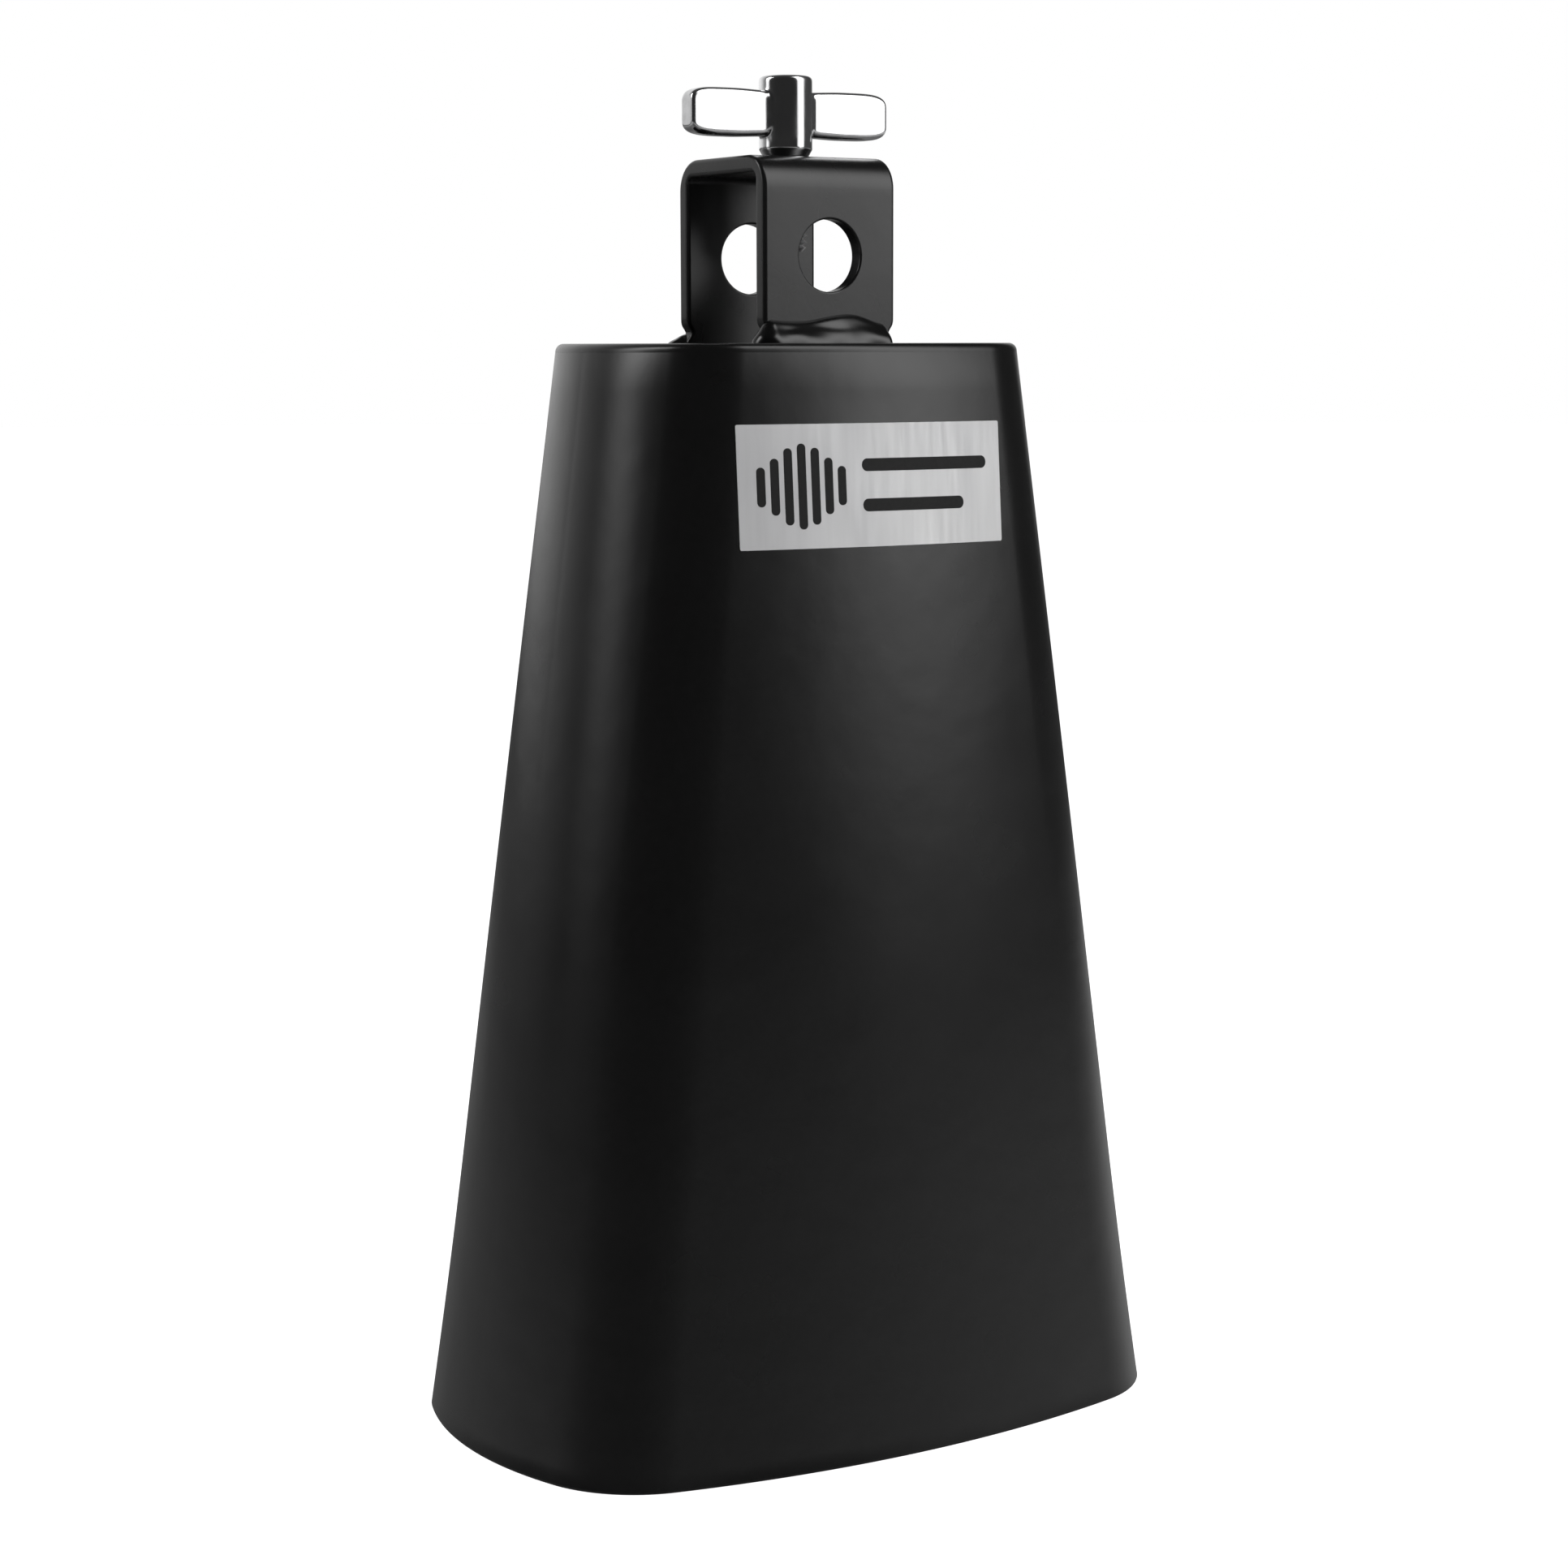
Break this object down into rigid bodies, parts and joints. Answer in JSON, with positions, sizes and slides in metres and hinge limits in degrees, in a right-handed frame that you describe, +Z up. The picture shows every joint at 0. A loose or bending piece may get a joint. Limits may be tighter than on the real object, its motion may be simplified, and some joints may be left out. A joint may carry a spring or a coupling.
{
  "type": "cowbell",
  "caption": "Tapered oval steel cowbell, open at the bottom, with a bent strap on its crown that clamps onto a mounting rod with a wing screw.",
  "frame": {"origin": "centre of the bell's mouth, on the plane of its rim", "axes": "+Z up from the mouth to the crown, X across the wide faces, -Y out of the front face that carries the badge"},
  "size_m": [0.1392, 0.0922, 0.2524],
  "materials": {
    "shell_powder_coat": "satin black powder coat with a fine orange peel",
    "bracket_powder_coat": "satin black powder coat",
    "weld_powder_coat": "satin black powder coat over rippled weld beads",
    "zinc_plated_steel": "bright zinc plate",
    "chrome_plate": "polished chrome with fine casting ripple",
    "silver_foil": "satin silver foil"
  },
  "bodies": {
    "bell": {"front_half_shell": "shell_powder_coat", "back_half_shell": "shell_powder_coat", "left_seam_weld": "weld_powder_coat", "right_seam_weld": "weld_powder_coat", "crown_plate": "shell_powder_coat", "crown_weld": "weld_powder_coat", "clamp_bracket": "bracket_powder_coat", "front_bracket_weld": "weld_powder_coat", "rear_bracket_weld": "weld_powder_coat", "badge": "silver_foil"},
    "screw_stud": {"threaded_stud": "zinc_plated_steel"},
    "screw_head": {"wing_head": "chrome_plate"}
  },
  "joints": [
    {"name": "screw_travel", "type": "slide", "parent": "bell", "child": "screw_stud", "axis": [0, 0, 1], "range_m": [0, 0.01219]},
    {"name": "wing_turn", "type": "hinge", "parent": "screw_stud", "child": "screw_head", "pos_m": [0, 0, 0.237], "axis": [0, 0, 1], "range_deg": [0, 3510]}
  ],
  "couplings": [
    {"joint": "wing_turn", "follows": "screw_travel", "rad_per_m": 5026.5}
  ]
}
